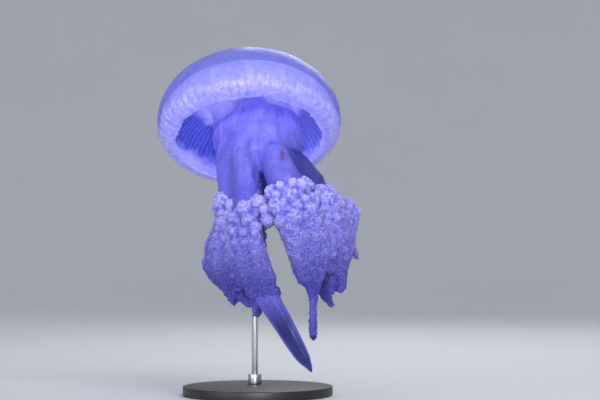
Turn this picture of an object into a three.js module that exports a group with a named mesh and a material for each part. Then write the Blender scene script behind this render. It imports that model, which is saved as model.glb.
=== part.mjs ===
// A barrel jellyfish (a rhizostome: a domed bell, a stout manubrium and eight frilled mouth arms that
// end in three-sided clubs), life size and still, banked on a plain display stand as if swimming.
//
// Units are millimetres. The part's frame has +Z up and its origin at the centre of the stand's foot,
// on the surface that it stands on. The animal is made in its own frame, with +Z along the bell's axis
// towards the crown of the bell, +X to the viewer's right and +Y away from the viewer. One group then
// banks it: its crown leans away and a little to the left, so that its underside shows from the front.

import * as THREE from "three";

const TURN = 2 * Math.PI;
const rad = THREE.MathUtils.degToRad;
const smooth = THREE.MathUtils.smoothstep;
const mix = THREE.MathUtils.lerp;

// ---- Driving dimensions ----

const GAP = 0.3; // air between two pieces that touch

// The bell: a dome of clear jelly over a flatter hollow, with a margin that curls inwards.
const BELL_RADIUS = 150;
const CROWN_HEIGHT = 102; // from the bell's widest circle up to its crown
const HOLLOW_RADIUS = 140; // the inner wall, at the widest circle
const HOLLOW_HEIGHT = 64.7; // of the ellipse that the inner wall follows
const CEILING = 52; // the flat middle of the hollow, where the pillars stand
const LIP_RADIUS = 113; // the tips of the lappets
const NOTCH_RADIUS = 121; // the notches between them
const LIP_DROP = 36;
const LAPPETS = 64; // eight to each eighth of the rim
const BELL_SIDES = 48;

// How the animal hangs on its stand.
const BANK = rad(29); // the crown leans away from the viewer
const ROLL = rad(3); // and to the left
const BELL_PLACE = new THREE.Vector3(-15, 8, 438); // the centre of the widest circle

// The manubrium: four pillars down to the arm disc, all swung to the right of the bell's axis.
const SWING = rad(9);
const PILLAR_LENGTH = 64;
const PILLAR_RING = 47; // radius of the circle that the pillars stand on
const DISC_RADIUS = 74;
const DISC_THICKNESS = 33;

// The crown of eight arms hangs from the disc's underside. Its middle line starts along the bell's
// axis and bends over BEND_LENGTH towards TRAIL, the way that everything drifts.
const TRAIL = new THREE.Vector3(Math.sin(rad(18)), -0.06, -Math.cos(rad(18))).normalize();
const BEND_LENGTH = 200;
const RING_TOP = 50; // radius of the circle of arms at the disc
const PARTING = 9; // half the gap between the left arms and the right ones
const STALK_HALF_WIDTH = 23;
const FUSED = 44; // how far down the crown the arms are grown together

// The arms hang in a left group and a right one, which each spread out between two distances down
// the crown. The right one spreads sooner.
const LEFT = { side: -1, from: 75, to: 185 };
const RIGHT = { side: 1, from: 20, to: 150 };

// One entry for each arm, by its bearing round the crown: 0 is to the right and 90 is away from the
// viewer. stalk, frill and club are its lengths, reach is how far out its frill is held, wide and
// clubWide are the half widths of its frill and club, and sweep carries its end across.
const ARMS = [
  { bearing: 22.5, ...RIGHT, reach: 116, stalk: 98, frill: 112, wide: 28, club: 24, clubWide: 7, sweep: 0 },
  { bearing: 67.5, ...RIGHT, reach: 98, stalk: 92, frill: 172, wide: 30, club: 30, clubWide: 11, sweep: 14 },
  { bearing: 112.5, ...LEFT, reach: 84, stalk: 92, frill: 142, wide: 27, club: 40, clubWide: 10, sweep: -30 },
  { bearing: 157.5, ...LEFT, reach: 88, stalk: 90, frill: 112, wide: 27, club: 30, clubWide: 9, sweep: 0 },
  { bearing: 202.5, ...LEFT, reach: 92, stalk: 104, frill: 124, wide: 29, club: 22, clubWide: 9, sweep: 0 },
  { bearing: 247.5, ...LEFT, reach: 84, stalk: 124, frill: 128, wide: 31, club: 130, clubWide: 18, sweep: 28 },
  { bearing: 292.5, ...RIGHT, reach: 84, stalk: 108, frill: 164, wide: 39, club: 72, clubWide: 7, sweep: -28 },
  { bearing: 337.5, ...RIGHT, reach: 88, stalk: 98, frill: 162, wide: 34, club: 22, clubWide: 10, sweep: -4 },
];

// The display stand: a round foot and one upright rod to the underside of the fused arms.
const FOOT_RADIUS = 120;
const FOOT_THICKNESS = 14;
const FOOT_CHAMFER = 2;
const ROD_RADIUS = 5;
const ROD_PLACE = new THREE.Vector2(-6, 36);
const COLLAR_RADIUS = 11;
const COLLAR_HEIGHT = 16;

// ---- Materials ----

const finish = (color, roughness, metalness = 0, opacity = 1) =>
  new THREE.MeshStandardMaterial({ color, roughness, metalness, opacity, transparent: opacity < 1 });

const JELLY = finish(0x8c8ff2, 0.25, 0, 0.6);
const MARGIN = finish(0xa6a6f7, 0.3, 0, 0.8);
const MANUBRIUM = finish(0x7877eb, 0.35);
const FRILL = finish(0x9f9cf3, 0.6);
const CLUB = finish(0x5b62c8, 0.2, 0, 0.6);
const BLACK_PAINT = finish(0x141418, 0.4);
const STEEL = finish(0xb8babd, 0.3, 1);

// ---- The animal's frame ----

const animal = new THREE.Group();
animal.rotation.set(-BANK, -ROLL, 0, "YXZ");
animal.position.copy(BELL_PLACE);
animal.updateMatrixWorld(true);

const toAnimal = animal.matrixWorld.clone().invert();
const viewerAway = new THREE.Vector3(0, 1, 0).transformDirection(toAnimal);

// ---- Ways of making solids ----

/** A named mesh in a parent group. */
function piece(parent, name, geometry, material) {
  const mesh = new THREE.Mesh(geometry, material);
  mesh.name = name;
  parent.add(mesh);
  return mesh;
}

/** A closed solid of revolution about Z. The profile holds [radius, height] and ends on the axis. */
function turned(profile, sides) {
  const points = profile.map(([radius, height]) => new THREE.Vector2(radius, height));
  return new THREE.LatheGeometry(points, sides).rotateX(Math.PI / 2);
}

/** A closed solid from rings of points, each joined to the next, with a fan over both ends. */
function loft(rings) {
  const sides = rings[0].length;
  const points = rings.flat();
  const middle = (ring) =>
    ring.reduce((sum, point) => sum.add(point), new THREE.Vector3()).divideScalar(ring.length);
  const first = points.push(middle(rings[0])) - 1;
  const last = points.push(middle(rings[rings.length - 1])) - 1;
  const top = (rings.length - 1) * sides;
  const faces = [];
  for (let i = 0; i < sides; i++) {
    const next = (i + 1) % sides;
    faces.push(first, next, i, last, top + i, top + next);
    for (let row = 0; row < top; row += sides) {
      faces.push(row + i, row + next, row + sides + next);
      faces.push(row + i, row + sides + next, row + sides + i);
    }
  }
  return new THREE.BufferGeometry().setFromPoints(points).setIndex(faces);
}

/** A closed band round Z: rows(angle index) gives the closed cross-section there as [radius, height]. */
function band(count, section) {
  const rings = Array.from({ length: count }, (_, i) => {
    const angle = (i / count) * TURN;
    const along = new THREE.Vector2(Math.cos(angle), Math.sin(angle));
    return section(i).map(([radius, height]) =>
      new THREE.Vector3(along.x * radius, along.y * radius, height));
  });
  const rows = rings[0].length;
  const faces = [];
  for (let i = 0; i < count; i++) {
    const here = i * rows;
    const there = ((i + 1) % count) * rows;
    for (let j = 0; j < rows; j++) {
      const next = (j + 1) % rows;
      faces.push(here + j, there + j, there + next);
      faces.push(here + j, there + next, here + next);
    }
  }
  return new THREE.BufferGeometry().setFromPoints(rings.flat()).setIndex(faces);
}

// ---- The bell ----

/** The height of an ellipse of revolution at a radius. */
const domeHeight = (radius, wide, high) => high * Math.sqrt(Math.max(0, 1 - (radius / wide) ** 2));

/** The points of a quarter of an ellipse, from its widest radius to a smaller one. */
function domeArc(wide, high, innermost, steps) {
  const end = Math.acos(innermost / wide);
  return Array.from({ length: steps + 1 }, (_, i) => {
    const angle = (end * i) / steps;
    return [wide * Math.cos(angle), high * Math.sin(angle)];
  });
}

function bell() {
  const ceilingRadius = HOLLOW_RADIUS * Math.sqrt(1 - (CEILING / HOLLOW_HEIGHT) ** 2);
  const inner = domeArc(HOLLOW_RADIUS, HOLLOW_HEIGHT, ceilingRadius, 5).reverse();
  const outer = domeArc(BELL_RADIUS, CROWN_HEIGHT, 0, 9).slice(0, -1);
  return turned([[0, CEILING], ...inner, ...outer, [0, CROWN_HEIGHT]], BELL_SIDES);
}

/** The curled rim below the widest circle. Every second step round it is a notch between lappets. */
function bellMargin() {
  const wall = BELL_RADIUS - HOLLOW_RADIUS;
  return band(2 * LAPPETS, (i) => {
    const tip = i % 2 ? LIP_RADIUS : NOTCH_RADIUS;
    return [
      [HOLLOW_RADIUS, -GAP],
      [HOLLOW_RADIUS - 6, -0.66 * LIP_DROP],
      [tip, -LIP_DROP],
      [BELL_RADIUS - 1.3 * wall, -0.88 * LIP_DROP],
      [BELL_RADIUS - 0.2 * wall, -0.4 * LIP_DROP],
      [BELL_RADIUS, -GAP],
    ];
  });
}

piece(animal, "bell", bell(), JELLY);
piece(animal, "bell_margin", bellMargin(), MARGIN);

// ---- The manubrium ----

const axis = new THREE.Vector3(0, 0, -1);
const down = new THREE.Vector3(Math.sin(SWING), 0, -Math.cos(SWING));
const ceilingMiddle = new THREE.Vector3(0, 0, CEILING);
const discTop = ceilingMiddle.clone().addScaledVector(down, PILLAR_LENGTH);
const discBottom = discTop.clone().addScaledVector(down, DISC_THICKNESS);

/** Axes across a direction: the first to the viewer's right, the second away from the viewer. */
function across(direction) {
  const away = viewerAway.clone().projectOnPlane(direction).normalize();
  return { right: new THREE.Vector3().crossVectors(direction, away), away };
}

/** A point in the plane across a direction. */
function inPlane(origin, { right, away }, x, y) {
  return origin.clone().addScaledVector(right, x).addScaledVector(away, y);
}

/** One pillar: wide where it grows from the ceiling, waisted, and wide again on the disc. */
function pillar(bearing) {
  const sides = 14;
  const steps = 5;
  const middle = new THREE.Vector2(Math.cos(bearing), Math.sin(bearing));
  const rings = Array.from({ length: steps + 1 }, (_, step) => {
    const t = step / steps;
    const ends = Math.abs(2 * t - 1) ** 2;
    const tangential = mix(23, t < 0.5 ? 32 : 29, ends);
    const radial = mix(16, t < 0.5 ? 27 : 22, ends);
    const ring = PILLAR_RING + mix(0, 3, t);
    const axes = across(axis.clone().lerp(down, t).normalize());
    const start = ceilingMiddle.clone().addScaledVector(axis, GAP);
    const end = discTop.clone().addScaledVector(down, -GAP);
    const origin = start.lerp(end, t);
    return Array.from({ length: sides }, (_, i) => {
      const angle = (i / sides) * TURN;
      const outwards = ring + radial * Math.cos(angle);
      const sideways = tangential * Math.sin(angle);
      const x = middle.x * outwards - middle.y * sideways;
      const y = middle.y * outwards + middle.x * sideways;
      return inPlane(origin, axes, x, y);
    });
  });
  return loft(rings.reverse());
}

/** The arm disc: a thick plate with a soft edge, drawn out a little towards each arm. */
function armDisc() {
  const sides = 32;
  const profile = [[0.86, 0], [0.97, 0.2], [1, 0.5], [0.98, 0.8], [0.93, 1]];
  const rings = profile.map(([share, depth]) => {
    const axes = across(down.clone().lerp(axis, depth).normalize());
    const origin = discTop.clone().addScaledVector(down, depth * DISC_THICKNESS);
    return Array.from({ length: sides }, (_, i) => {
      const angle = (i / sides) * TURN;
      const lobe = 1 + 0.03 * depth * Math.cos(8 * (angle - rad(22.5)));
      const radius = DISC_RADIUS * share * lobe;
      return inPlane(origin, axes, radius * Math.cos(angle), radius * Math.sin(angle));
    });
  });
  return loft(rings.reverse());
}

["right", "back", "left", "front"].forEach((name, i) =>
  piece(animal, `pillar_${name}`, pillar((i / 4) * TURN), MANUBRIUM));
piece(animal, "arm_disc", armDisc(), MANUBRIUM);

// ---- The crown of arms ----

const trail = TRAIL.clone().transformDirection(toAnimal);

/** The crown's middle line, walked from the disc in short steps, with the plane across it. */
const crown = [];
const CROWN_STEP = 4;
{
  const place = discBottom.clone();
  for (let s = 0; s <= 480; s += CROWN_STEP) {
    const direction = axis.clone().lerp(trail, smooth(s, 0, BEND_LENGTH)).normalize();
    crown.push({ place: place.clone(), direction, axes: across(direction) });
    place.addScaledVector(direction, CROWN_STEP);
  }
}

/** The plane at a distance down the crown. */
function crownAt(s) {
  const index = Math.min(Math.floor(s / CROWN_STEP), crown.length - 2);
  const share = s / CROWN_STEP - index;
  const direction = crown[index].direction.clone().lerp(crown[index + 1].direction, share).normalize();
  const place = crown[index].place.clone().lerp(crown[index + 1].place, share);
  return { place, direction, axes: across(direction) };
}

const lengthOf = (arm) => arm.stalk + arm.frill + arm.club;

/** Where an arm's middle line crosses the plane at a distance down the crown. */
function armMiddle(arm, s) {
  const bearing = rad(arm.bearing);
  const spread = smooth(s, arm.from, arm.to);
  const radius = mix(RING_TOP, arm.reach, spread) - 18 * smooth(s, 190, 320);
  const club = Math.max(0, s - arm.stalk - 0.8 * arm.frill) / (0.2 * arm.frill + arm.club);
  const drift = arm.side * PARTING * spread + arm.sweep * club ** 1.3;
  return new THREE.Vector2(radius * Math.cos(bearing) + drift, radius * Math.sin(bearing));
}

/** How wide an arm is at a distance down the crown, from its middle line. */
function armWidth(arm, s) {
  const t = (s - arm.stalk) / arm.frill;
  if (t < 0) return mix(STALK_HALF_WIDTH, 0.7 * arm.wide, smooth(s, 0, arm.stalk));
  if (t > 1) {
    const u = (s - arm.stalk - arm.frill) / arm.club;
    return arm.clubWide * mix(1, 0.62, u) * Math.sqrt(Math.max(0.02, 1 - u ** 6));
  }
  const swell = mix(0.7, 1, smooth(t, 0, 0.2));
  return mix(arm.wide * swell, arm.clubWide * 1.25, smooth(t, 0.5, 1) ** 1.8);
}

/** Where the stand's rod crosses the plane at a distance down the crown. */
function rodIn({ place, direction, axes }) {
  const start = new THREE.Vector3(ROD_PLACE.x, ROD_PLACE.y, 0).applyMatrix4(toAnimal);
  const along = new THREE.Vector3(0, 0, 1).transformDirection(toAnimal);
  const toPlane = place.clone().sub(start).dot(direction) / along.dot(direction);
  const offset = start.addScaledVector(along, toPlane).sub(place);
  return new THREE.Vector2(offset.dot(axes.right), offset.dot(axes.away));
}

/** How far a section may reach along a bearing before it meets a neighbour, the parting or the rod. */
function room(arm, s, plane, bearing) {
  const middle = armMiddle(arm, s);
  const way = new THREE.Vector2(Math.cos(bearing), Math.sin(bearing));
  const size = armWidth(arm, s);
  let most = Infinity;
  const wall = (offset, share, clear) => {
    const facing = offset.dot(way) / offset.length();
    if (facing > 0.05) most = Math.min(most, (offset.length() * share - clear) / facing);
  };
  for (const other of ARMS) {
    if (other === arm || s > lengthOf(other) + 4) continue;
    const share = size / (size + armWidth(other, Math.min(s, lengthOf(other))));
    wall(armMiddle(other, s).sub(middle), share, 0.6);
  }
  const rod = rodIn(plane).sub(middle);
  wall(rod, 1, ROD_RADIUS / Math.cos(BANK) + 1.5);
  if (s < arm.stalk + arm.frill) {
    const parting = mix(0.6, PARTING, smooth(s, 120, 155));
    const edge = Math.max(2, arm.side * middle.x - parting);
    wall(new THREE.Vector2(-arm.side * edge, 0), 1, 0);
  }
  return most;
}

/** One ring of an arm. shape gives a radius, as a share of the arm's width, for an angle. */
function armRing(arm, s, sides, shape) {
  const plane = crownAt(s);
  const middle = armMiddle(arm, s);
  return Array.from({ length: sides }, (_, i) => {
    const angle = (i / sides) * TURN;
    const bearing = angle + rad(arm.bearing);
    const radius = Math.min(armWidth(arm, s) * shape(angle, s), room(arm, s, plane, bearing));
    const x = middle.x + radius * Math.cos(bearing);
    const y = middle.y + radius * Math.sin(bearing);
    return inPlane(plane.place, plane.axes, x, y);
  });
}

/** A length of an arm between two distances down the crown. */
function armLength(arm, from, to, steps, sides, shape) {
  const rings = Array.from({ length: steps + 1 }, (_, i) =>
    armRing(arm, mix(from, to, i / steps), sides, shape));
  return loft(rings.reverse());
}

/** The length where the arms are grown together, drawn out a little at each arm. */
function fusedLength() {
  const sides = 32;
  const steps = 3;
  const rings = Array.from({ length: steps + 1 }, (_, step) => {
    const s = mix(GAP, FUSED, step / steps);
    const plane = crownAt(s);
    return Array.from({ length: sides }, (_, i) => {
      const angle = (i / sides) * TURN;
      const lobe = 1 + 0.03 * Math.cos(8 * (angle - rad(22.5)));
      const radius = (RING_TOP + 0.86 * STALK_HALF_WIDTH) * lobe;
      return inPlane(plane.place, plane.axes, radius * Math.cos(angle), radius * Math.sin(angle));
    });
  });
  return loft(rings.reverse());
}

piece(animal, "fused_arms", fusedLength(), MANUBRIUM);

/** A smooth stalk, a little deeper than it is wide. */
const stalkShape = (angle) => 1 + 0.12 * Math.cos(2 * angle);

/** A frill: three wings, one of them inwards, covered in rounded lumps and wider than it is deep. */
function frillShape(arm) {
  const shift = rad(arm.bearing * 5);
  return (angle, s) => {
    const wings = 1 - 0.1 * Math.cos(3 * angle) - 0.12 * Math.cos(2 * angle);
    const lumps = Math.sin(s / 7.5 + 3 * angle + shift) * Math.sin(s / 13 - 4 * angle + 2 * shift);
    const ends = smooth(s, arm.stalk, arm.stalk + 14);
    return wings * (1 + 0.16 * ends * lumps);
  };
}

/** A club: three flat sides between three rounded ridges. */
const clubShape = (angle) => 1 - 0.24 * Math.cos(3 * angle);

ARMS.forEach((arm, i) => {
  const frillStart = arm.stalk;
  const clubStart = arm.stalk + arm.frill;
  const name = `arm_${i + 1}`;
  const stalk = armLength(arm, FUSED + GAP, frillStart - GAP, 3, 12, stalkShape);
  const frill = armLength(arm, frillStart, clubStart, 10, 20, frillShape(arm));
  const club = armLength(arm, clubStart + GAP, lengthOf(arm), 5, 9, clubShape);
  piece(animal, `${name}_stalk`, stalk, MANUBRIUM);
  piece(animal, `${name}_frill`, frill, FRILL);
  piece(animal, `${name}_club`, club, CLUB);
});

// ---- The stand ----

const stand = new THREE.Group();

function foot() {
  const edge = FOOT_RADIUS - FOOT_CHAMFER;
  const shoulder = FOOT_THICKNESS - FOOT_CHAMFER;
  return turned([[0, 0], [FOOT_RADIUS, 0], [FOOT_RADIUS, shoulder], [edge, FOOT_THICKNESS],
    [0, FOOT_THICKNESS]], 48);
}

/** The rod, cut off at its top along the underside of the arms' fused length. */
function rod() {
  const sides = 16;
  const matrix = animal.matrixWorld;
  const { place, direction } = crownAt(FUSED);
  const normal = direction.clone().transformDirection(matrix);
  const above = place.clone().applyMatrix4(matrix).addScaledVector(normal, GAP);
  const bottom = [];
  const top = [];
  for (let i = 0; i < sides; i++) {
    const angle = (i / sides) * TURN;
    const x = ROD_PLACE.x + ROD_RADIUS * Math.cos(angle);
    const y = ROD_PLACE.y + ROD_RADIUS * Math.sin(angle);
    const height = above.z - (normal.x * (x - above.x) + normal.y * (y - above.y)) / normal.z;
    bottom.push(new THREE.Vector3(x, y, FOOT_THICKNESS + GAP));
    top.push(new THREE.Vector3(x, y, height));
  }
  return loft([bottom, top]);
}

/** A ring round the rod's lower end, standing on the foot. */
function collar() {
  const bore = ROD_RADIUS + GAP;
  const low = FOOT_THICKNESS + GAP;
  const high = low + COLLAR_HEIGHT;
  const section = [[bore, high], [bore, low], [COLLAR_RADIUS, low], [COLLAR_RADIUS, high - 2],
    [COLLAR_RADIUS - 2, high]];
  return band(24, () => section).translate(ROD_PLACE.x, ROD_PLACE.y, 0);
}

piece(stand, "stand_foot", foot(), BLACK_PAINT);
piece(stand, "stand_rod", rod(), STEEL);
piece(stand, "stand_collar", collar(), STEEL);

const jellyfish = new THREE.Group();
jellyfish.add(animal, stand);

export default jellyfish;
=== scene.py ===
# %% [markdown]
# # A barrel jellyfish on its stand
#
# A barrel jellyfish is mostly clear jelly. A thick dome, the bell, covers a hollow. A stout stem, the
# manubrium, hangs in the hollow on four pillars, and eight frilled mouth arms hang from the stem. This
# script dresses a plain solid model of the animal. It loads that model first, because every place and
# size below is worked out from it.

# %% Load the solid model
import math
import random

import bmesh
import bpy
import numpy as np
from mathutils import Euler, Matrix, Vector
from mathutils.bvhtree import BVHTree
from mathutils.noise import noise


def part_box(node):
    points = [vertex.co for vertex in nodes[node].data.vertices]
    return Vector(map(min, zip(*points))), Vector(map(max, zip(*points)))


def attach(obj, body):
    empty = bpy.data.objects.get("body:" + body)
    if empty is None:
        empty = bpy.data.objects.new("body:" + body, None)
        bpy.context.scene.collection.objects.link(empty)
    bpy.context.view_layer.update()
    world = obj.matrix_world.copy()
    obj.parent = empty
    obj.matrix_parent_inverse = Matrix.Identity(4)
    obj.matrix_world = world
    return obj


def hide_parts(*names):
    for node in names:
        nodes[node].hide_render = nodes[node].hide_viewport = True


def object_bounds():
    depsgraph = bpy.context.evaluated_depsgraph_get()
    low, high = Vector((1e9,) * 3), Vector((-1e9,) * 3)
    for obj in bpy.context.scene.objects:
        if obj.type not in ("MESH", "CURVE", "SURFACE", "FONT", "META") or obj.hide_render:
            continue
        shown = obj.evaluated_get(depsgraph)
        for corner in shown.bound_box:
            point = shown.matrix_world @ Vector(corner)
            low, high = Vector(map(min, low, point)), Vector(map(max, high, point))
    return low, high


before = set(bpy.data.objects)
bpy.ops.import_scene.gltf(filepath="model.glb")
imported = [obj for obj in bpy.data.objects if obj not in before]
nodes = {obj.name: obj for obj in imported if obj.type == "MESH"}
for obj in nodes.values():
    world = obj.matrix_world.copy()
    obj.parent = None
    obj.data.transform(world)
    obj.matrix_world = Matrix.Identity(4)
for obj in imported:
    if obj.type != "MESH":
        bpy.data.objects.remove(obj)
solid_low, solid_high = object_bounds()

MM = 0.001
print("solid model", [round(side, 3) for side in solid_high - solid_low], "m,", len(nodes), "nodes")

# %% [markdown]
# ## The camera
#
# The camera comes first, since it decides how much detail each piece needs. It looks at the open
# underside from just above the floor. A long lens a couple of metres away keeps the near arms from
# looking too big.

# %% Place the camera
CAMERA_PLACE = Vector((67.5, -2150, 190)) * MM
CAMERA_PITCH = math.radians(3.25)

lens = bpy.data.cameras.new("camera")
lens.lens = 80
lens.sensor_width = 36
lens.clip_end = 50
camera = bpy.data.objects.new("camera", lens)
camera.location = CAMERA_PLACE
camera.rotation_euler = (math.pi / 2 + CAMERA_PITCH, 0, 0)
bpy.context.collection.objects.link(camera)
bpy.context.scene.camera = camera
bpy.context.scene.view_settings.view_transform = "Standard"
print("camera", round((CAMERA_PLACE - (solid_low + solid_high) / 2).length, 2), "m from the model")

# %% [markdown]
# ## The bell's own frame
#
# The bell leans, so its round shapes are easier to make upright and then lay over. The lean is given
# as two angles. Turning the solid bell's points back by them shows where its axis stands and how wide
# and tall it is, so nothing has to be measured by hand.

# %% Find the bell's frame
LEAN = math.radians(29)
ROLL = math.radians(3)

bell_turn = Euler((-LEAN, -ROLL, 0), "XYZ")
upright = bell_turn.to_matrix().inverted()
points = [upright @ vertex.co for vertex in nodes["bell"].data.vertices]
lowest = Vector(min(point[axis] for point in points) for axis in range(3))
highest = Vector(max(point[axis] for point in points) for axis in range(3))
RADIUS = (highest.x - lowest.x) / 2
CROWN = highest.z - lowest.z
bell_centre = bell_turn.to_matrix() @ Vector(((lowest.x + highest.x) / 2, (lowest.y + highest.y) / 2,
                                              lowest.z))
to_world = Matrix.Translation(bell_centre) @ bell_turn.to_matrix().to_4x4()
to_bell = to_world.inverted()
print("bell", round(2 * RADIUS, 3), "m wide and", round(CROWN, 3), "m tall at", bell_centre.to_tuple(3))


# %% [markdown]
# ## Helpers
#
# A few small helpers serve every piece. Some turn a bmesh into an object, or copy a solid node for
# reshaping, which first has to have its loose triangles joined. One draws a smooth line through a few
# points, because a living outline has no corners. Others read and move many points at once.

# %% Helpers for making pieces
def put(name, data):
    """A new object in the scene, at the origin, from a mesh or a light."""
    thing = bpy.data.objects.new(name, data)
    bpy.context.collection.objects.link(thing)
    return thing


def mesh_of(shape, name):
    """A mesh from a bmesh, which is freed."""
    mesh = bpy.data.meshes.new(name)
    shape.to_mesh(mesh)
    shape.free()
    return mesh


def finish_piece(shape, name):
    """A smoothly shaded object from a bmesh, which is freed."""
    mesh = mesh_of(shape, name)
    for face in mesh.polygons:
        face.use_smooth = True
    return put(name, mesh)


def copy_of(node):
    """A bmesh copy of a solid node, with its loose triangles joined."""
    copy = bmesh.new()
    copy.from_mesh(nodes[node].data)
    bmesh.ops.remove_doubles(copy, verts=copy.verts, dist=0.02 * MM)
    return copy


def smooth_line(points, steps):
    """A curve through every point, with a number of steps between each two."""
    ends = [2 * points[0] - points[1], *points, 2 * points[-1] - points[-2]]
    line = []
    for a, b, c, d in zip(ends, ends[1:], ends[2:], ends[3:]):
        for tick in range(steps):
            t = tick / steps
            line.append(0.5 * (2 * b + t * (c - a) + t * t * (2 * a - 5 * b + 4 * c - d)
                               + t ** 3 * (3 * b - a - 3 * c + d)))
    return [*line, points[-1]]


def spun(line, sides):
    """A surface of revolution round the Z axis, from points of (radius, 0, height)."""
    shape = bmesh.new()
    vertices = [shape.verts.new(point) for point in line]
    edges = [shape.edges.new(pair) for pair in zip(vertices, vertices[1:])]
    bmesh.ops.spin(shape, geom=vertices + edges, cent=(0, 0, 0), axis=(0, 0, 1),
                   angle=2 * math.pi, steps=sides, use_merge=True)
    bmesh.ops.remove_doubles(shape, verts=shape.verts, dist=0.01 * MM)
    bmesh.ops.recalc_face_normals(shape, faces=shape.faces)
    return shape


def apply_modifiers(piece):
    """Bakes a piece's modifiers into its mesh."""
    view = bpy.context.evaluated_depsgraph_get()
    mesh = bpy.data.meshes.new_from_object(piece.evaluated_get(view))
    old, piece.data = piece.data, mesh
    piece.modifiers.clear()
    mesh.name = piece.name
    bpy.data.meshes.remove(old)
    return piece


def ramp(value, low, high):
    """0 below low and 1 above high, with a soft step between. Works on numbers and on arrays."""
    t = np.clip((value - low) / (high - low), 0, 1)
    return t * t * (3 - 2 * t)


def places_of(mesh, kind="co"):
    """Every vertex's place or normal, as rows of an array."""
    rows = np.empty(len(mesh.vertices) * 3, np.float32)
    mesh.vertices.foreach_get(kind, rows)
    return rows.reshape(-1, 3).astype(float)


def move_to(piece, places):
    """Gives every vertex of a piece a new place."""
    piece.data.vertices.foreach_set("co", places.astype(np.float32).ravel())
    piece.data.update()


def smoothed(mesh, places, rounds):
    """The places after each vertex has moved to the mean of its neighbours, a number of times."""
    ends = np.empty(len(mesh.edges) * 2, np.int32)
    mesh.edges.foreach_get("vertices", ends)
    first, second = ends.reshape(-1, 2).T
    both, other = np.concatenate([first, second]), np.concatenate([second, first])
    count = np.maximum(np.bincount(both, minlength=len(places)), 1)
    for _ in range(rounds):
        places = np.stack([np.bincount(both, places[other, axis], len(places)) / count
                           for axis in range(3)], 1)
    return places


def relief(mesh, rounds):
    """How far each vertex stands out of the smoothed surface, in metres. Clefts are negative."""
    places = places_of(mesh)
    return ((places - smoothed(mesh, places, rounds)) * places_of(mesh, "normal")).sum(1)


def mark(piece, name, values):
    """Writes one number per vertex to the piece, for its material to read."""
    layer = piece.data.attributes.new(name, "FLOAT", "POINT")
    layer.data.foreach_set("value", np.asarray(values, np.float32))


# %% [markdown]
# ## The bell
#
# The bell is a body of revolution: a dome of clear jelly over a flatter hollow, with a thin margin
# that curls in under it. One closed line, from the crown down round the lip and up to the middle of
# the hollow, is spun round the axis. The lips of the margin are cut into small lobes, the lappets,
# eight to each eighth of the rim, so the count of sides is a multiple of the count of lappets.

# %% Draw the bell's section
WALL = 10 * MM  # jelly at the widest circle
HOLLOW_HEIGHT = 64.7 * MM
CEILING = 52 * MM
LIP_DROP = 36 * MM
LIP_RADIUS = 119 * MM


def arc(wide, high, first, last, steps):
    """Points of an ellipse from one angle to another, measured up from its widest circle."""
    angles = [first + (last - first) * tick / steps for tick in range(steps + 1)]
    return [Vector((wide * math.cos(angle), 0, high * math.sin(angle))) for angle in angles]


hollow_radius = RADIUS - WALL
ceiling_angle = math.asin(CEILING / HOLLOW_HEIGHT)
dome_line = arc(RADIUS, CROWN, math.pi / 2, 0, 34)
hollow_line = arc(hollow_radius, HOLLOW_HEIGHT, 0, ceiling_angle, 14)
ceiling_radius = hollow_line[-1].x
ceiling_line = [Vector((ceiling_radius * (1 - tick / 10), 0, CEILING)) for tick in range(1, 11)]


def margin_line(places):
    """A smooth line through places given as (share of the way in to the lip, share of the drop)."""
    return smooth_line([Vector((RADIUS - inwards * (RADIUS - LIP_RADIUS), 0, -drop * LIP_DROP))
                        for inwards, drop in places], 3)


outer_margin = margin_line([(0, 0), (0.03, 0.3), (0.12, 0.58), (0.32, 0.82), (0.62, 0.96), (0.96, 1)])
inner_margin = margin_line([(1, 0.96), (0.8, 0.88), (0.6, 0.72), (0.45, 0.48), (0.36, 0.22),
                            (WALL / (RADIUS - LIP_RADIUS), 0)])
section = [*dome_line[:-1], *outer_margin, *inner_margin[:-1], *hollow_line, *ceiling_line]
print("section of", len(section), "points, hollow", round(hollow_radius, 3), "m in radius")

# %% [markdown]
# Spinning gives a machine's smoothness, so the points are then moved a little. The lappets push the
# lip inwards, shallow furrows run up from the notches between them, and a slow waviness makes the
# dome look grown.

# %% Spin the bell and shape its margin
LAPPETS = 64
LAPPET_REACH = 5 * MM
FURROW = 1.5 * MM
WAVINESS = 0.9 * MM
LIP_SWAY = 4.5 * MM

bell = spun(section, LAPPETS * 8)


def lappet_at(angle):
    """1 in the middle of a lappet and 0 in a notch. Every eighth notch is a wide one."""
    lobe = abs(math.sin(angle * LAPPETS / 2)) ** 0.8
    return lobe * (0.5 + 0.5 * min(1, abs(math.sin(angle * 4)) * 3))


for vertex in bell.verts:
    x, y, height = vertex.co
    radius = math.hypot(x, y)
    if radius < MM:
        continue
    outwards = Vector((x / radius, y / radius, 0))
    lappet = lappet_at(math.atan2(y, x))
    near_lip = float(ramp(-height, 0.6 * LIP_DROP, LIP_DROP) * ramp(-radius, -140 * MM, -LIP_RADIUS))
    on_margin = float(ramp(-height, -0.1 * LIP_DROP, 0.6 * LIP_DROP))
    uneven = 0.6 + 0.8 * noise(outwards * 9)
    wave = 0.7 * noise(vertex.co * 16) + 0.5 * noise(vertex.co * 40) - 0.8
    sway = noise(outwards * 2.4) + 0.5 * noise(outwards * 6)
    vertex.co -= outwards * LAPPET_REACH * near_lip * (lappet - 0.2) * uneven
    vertex.co -= outwards * LIP_SWAY * near_lip * sway
    vertex.co -= outwards * FURROW * on_margin * (1 - lappet)
    vertex.co += outwards * WAVINESS * wave * float(ramp(radius, 30 * MM, 90 * MM))

print("bell of", len(bell.faces), "faces")
bell.transform(to_world)
bell_piece = finish_piece(bell, "bell_skin")

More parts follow.
